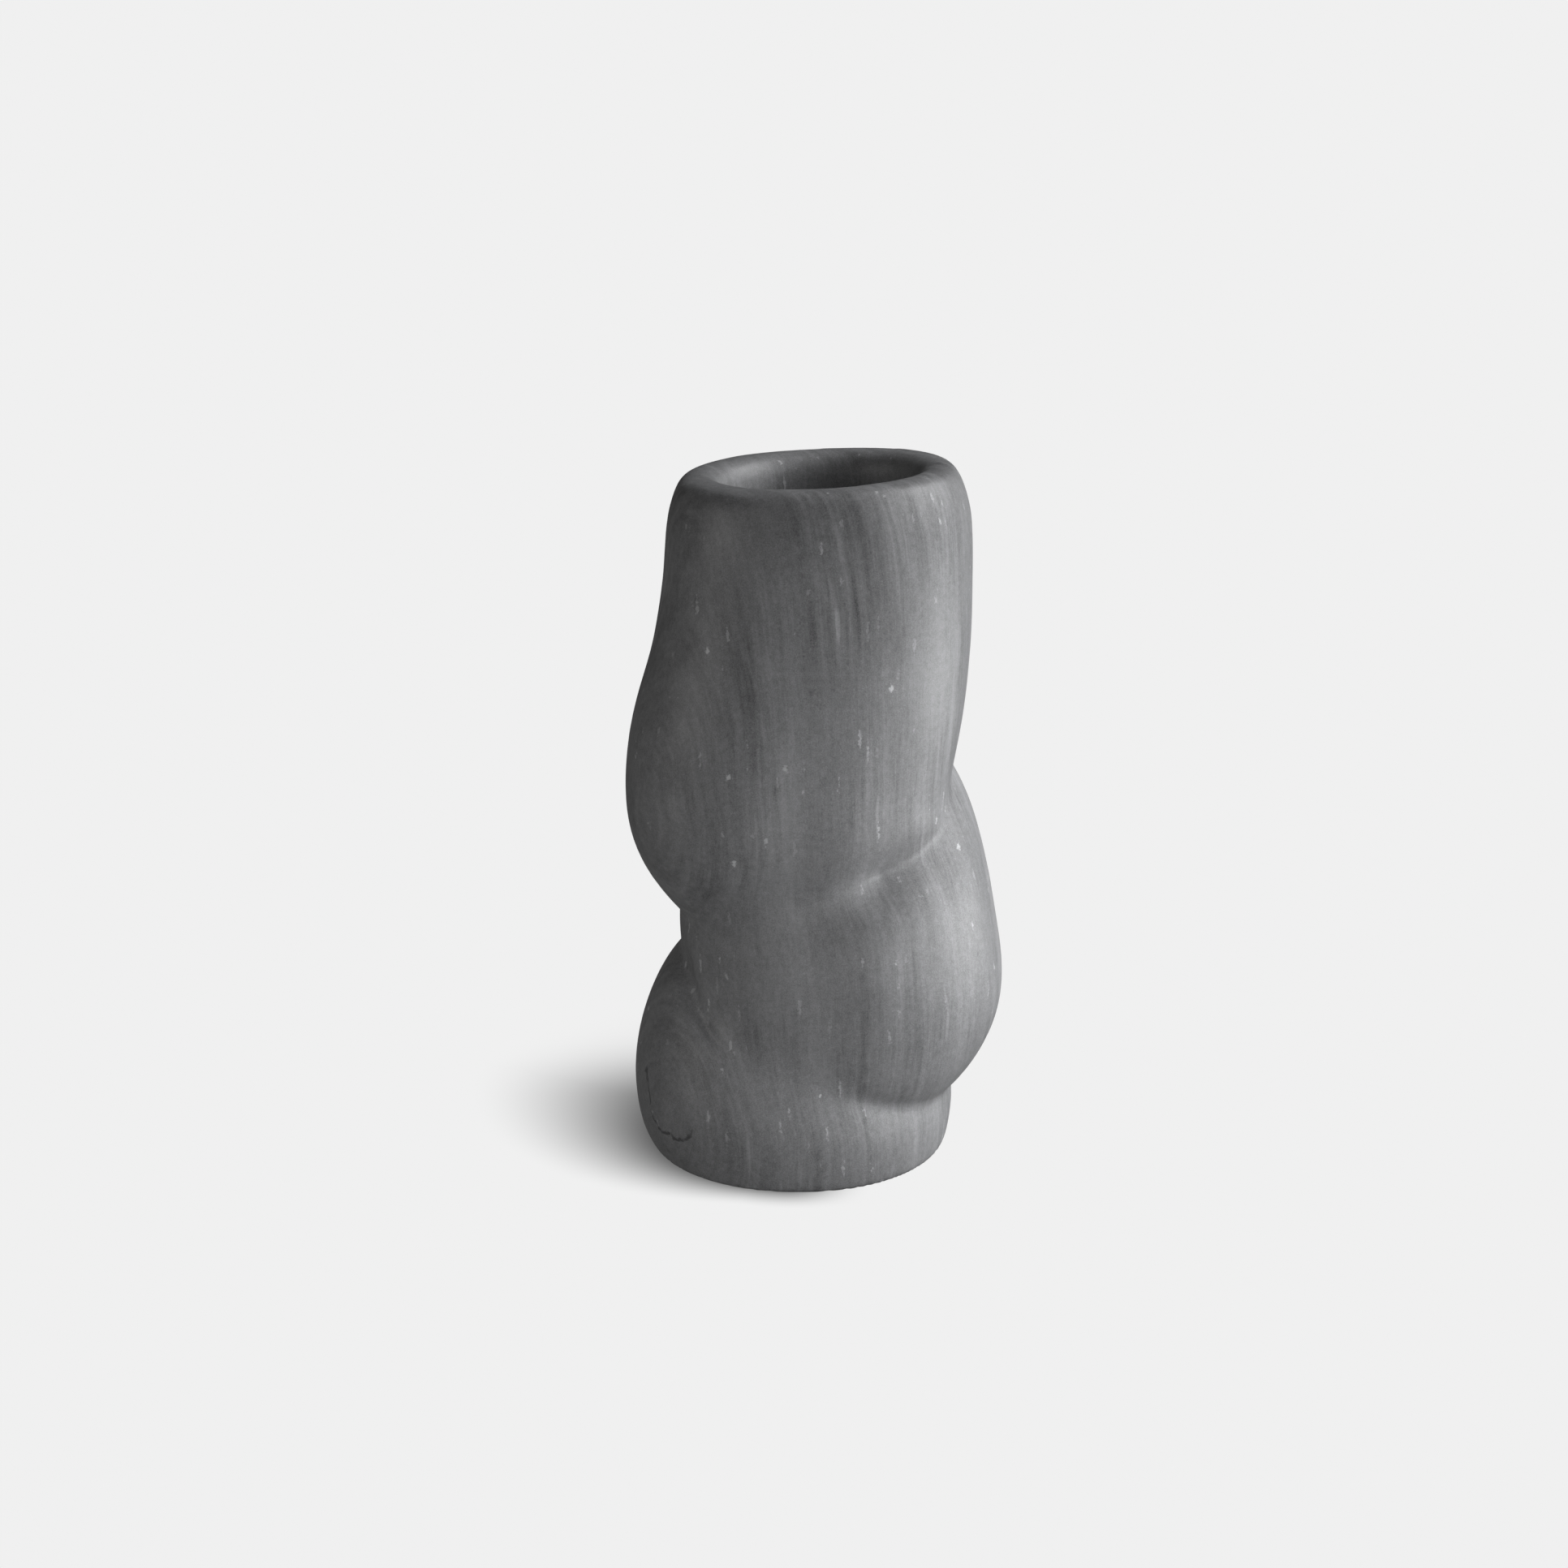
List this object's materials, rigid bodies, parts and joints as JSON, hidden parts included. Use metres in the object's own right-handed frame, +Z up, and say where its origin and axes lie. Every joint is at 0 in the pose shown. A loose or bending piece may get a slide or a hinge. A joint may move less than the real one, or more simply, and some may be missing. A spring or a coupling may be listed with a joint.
{
  "type": "decorative vase",
  "caption": "Free-standing carved stone vase of three leaning rounded masses, with a wide rounded rim, a deep round hollow and a flat foot on a felt pad.",
  "frame": {"origin": "centre of the round foot, on the surface that the vase stands on", "axes": "+Z up through the mouth; -Y towards the side that faces the viewer, with the middle mass swelling to +X and the foot swelling to -X"},
  "size_m": [0.1546, 0.132, 0.2836],
  "materials": {
    "stone": "honed, satin",
    "felt": "matt"
  },
  "bodies": {
    "root": {"vase_body": "stone", "foot_pad": "felt"}
  },
  "joints": []
}
